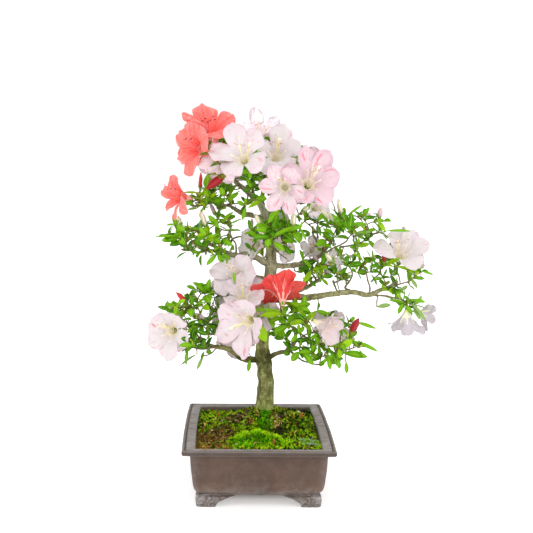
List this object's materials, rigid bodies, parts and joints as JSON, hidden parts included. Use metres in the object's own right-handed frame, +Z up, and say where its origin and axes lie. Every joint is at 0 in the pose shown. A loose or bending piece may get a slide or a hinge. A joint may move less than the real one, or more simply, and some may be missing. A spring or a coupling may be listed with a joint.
{
  "type": "azalea bonsai in pot",
  "caption": "Flowering azalea bonsai with a leaning trunk, spreading pads of leaves, white and coral blooms, and a mossy rectangular clay pot on bracket feet.",
  "frame": {"origin": "middle of the object's footprint box on the plane the pot's feet stand on", "axes": "+Z up, -Y towards the display side, +X to the right when looking at the display side"},
  "size_m": [0.3771, 0.2833, 0.5016],
  "materials": {
    "clay": "matte",
    "soil": "matte",
    "bark": "matte",
    "foliage": "matte",
    "pale_bloom": "matte",
    "coral_bloom": "matte"
  },
  "bodies": {
    "root": {"pot_body": "clay", "pot_foot_front_left": "clay", "pot_foot_front_right": "clay", "pot_foot_back_left": "clay", "pot_foot_back_right": "clay", "moss_soil": "soil", "trunk": "bark", "bough_low_left": "bark", "bough_low_front": "bark", "bough_low_right": "bark", "bough_low_back": "bark", "bough_red_front": "bark", "bough_mid_front": "bark", "bough_right_long": "bark", "bough_right_upper": "bark", "bough_mid_left": "bark", "bough_mid_back": "bark", "bough_up_right": "bark", "bough_centre": "bark", "bough_up_left": "bark", "bough_up_back": "bark", "bough_top_right": "bark", "bough_top": "bark", "pad_low_left": "foliage", "pad_low_front": "pale_bloom", "pad_low_right": "foliage", "pad_low_far": "foliage", "pad_low_back": "foliage", "pad_red_front": "coral_bloom", "pad_mid_front": "pale_bloom", "pad_mid_left": "foliage", "pad_mid_right": "foliage", "pad_far_right": "foliage", "pad_far_low": "pale_bloom", "pad_mid_back": "foliage", "pad_up_right": "foliage", "pad_centre": "foliage", "pad_up_left": "foliage", "pad_up_back": "foliage", "pad_top_left": "coral_bloom", "pad_top": "pale_bloom", "pad_top_right": "pale_bloom"}
  },
  "joints": []
}
